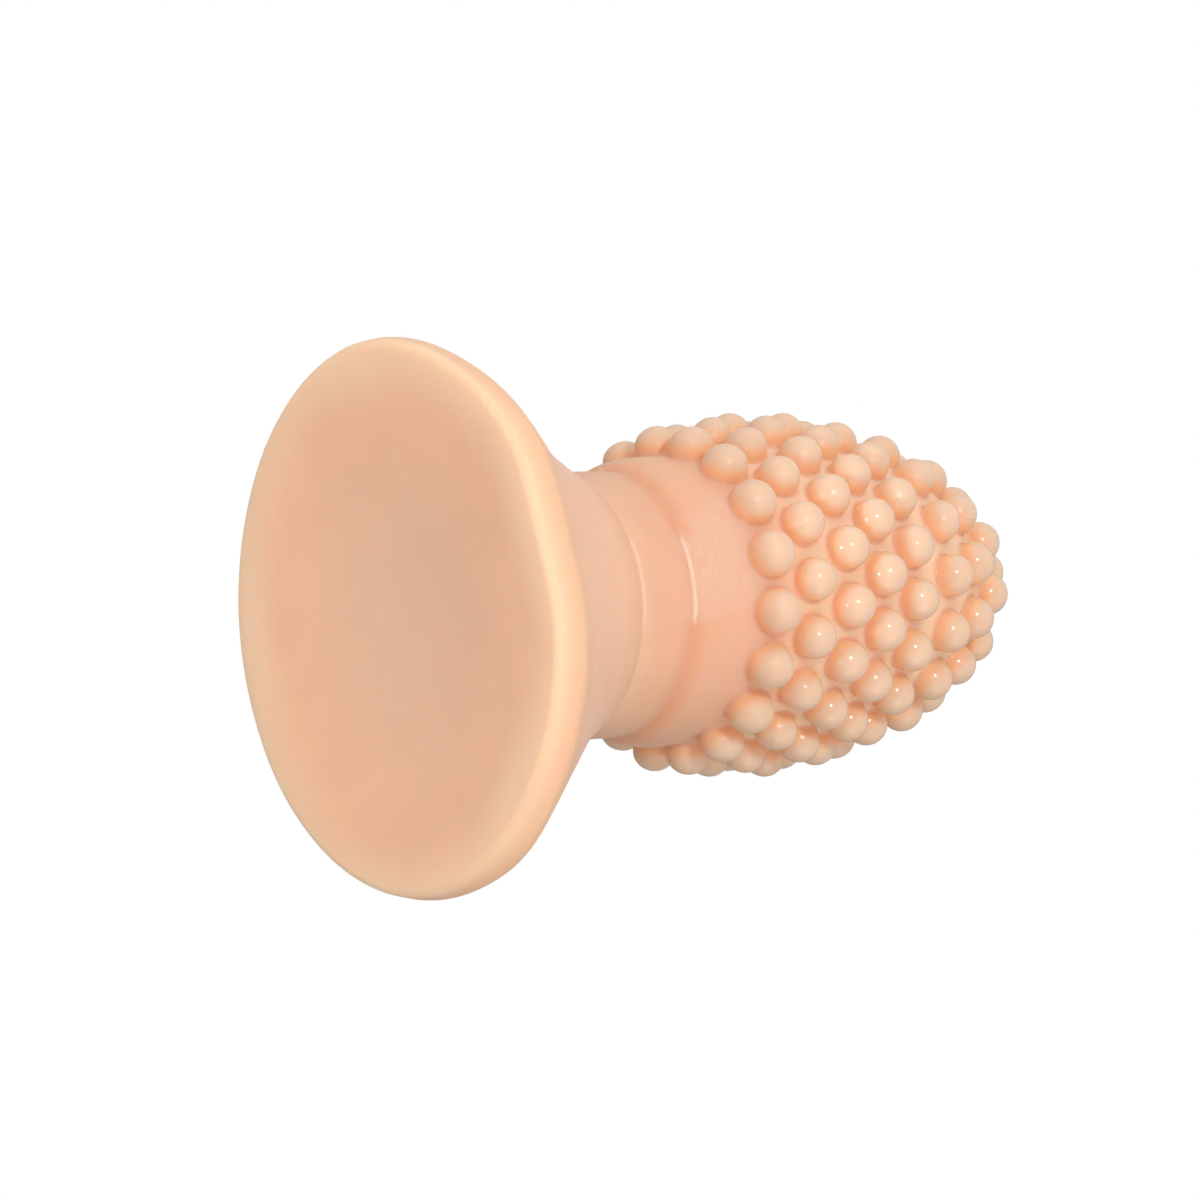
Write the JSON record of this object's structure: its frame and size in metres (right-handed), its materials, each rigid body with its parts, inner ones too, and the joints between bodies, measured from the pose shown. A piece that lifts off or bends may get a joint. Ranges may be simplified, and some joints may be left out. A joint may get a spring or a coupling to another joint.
{
  "type": "studded plug with flared base",
  "caption": "Soft moulded plug: an egg-shaped head covered in round studs, a short stepped neck that flexes, and a wide flared foot with a dished face.",
  "frame": {"origin": "middle of the foot's rim, on the plane it stands on", "axes": "+Z from the foot through the neck to the head's tip; X and Y are alike, because the object is round"},
  "size_m": [0.09, 0.09, 0.1257],
  "materials": {
    "foot": "matte",
    "neck": "satin",
    "skin": "satin",
    "studs": "satin"
  },
  "bodies": {
    "base": {"foot_disc": "foot", "foot_cone": "foot", "neck_root": "neck"},
    "neck": {"neck_collar": "neck"},
    "head": {"head_core": "skin", "stud_ring_1": "studs", "stud_ring_2": "studs", "stud_ring_3": "studs", "stud_ring_4": "studs", "stud_ring_5": "studs", "stud_ring_6": "studs", "stud_ring_7": "studs", "stud_ring_8": "studs", "stud_ring_9": "studs", "tip_stud": "studs"}
  },
  "joints": [
    {"name": "neck_bend_y", "type": "hinge", "parent": "base", "child": "neck", "pos_m": [0, 0, 0.03], "axis": [1, 0, 0], "range_deg": [-20, 20], "stiffness_Nm_per_rad": 1.4, "deforming": ["neck_root"]},
    {"name": "neck_bend_x", "type": "hinge", "parent": "neck", "child": "head", "pos_m": [0, 0, 0.0387], "axis": [0, 1, 0], "range_deg": [-20, 20], "stiffness_Nm_per_rad": 1.4, "deforming": ["neck_collar"]}
  ]
}
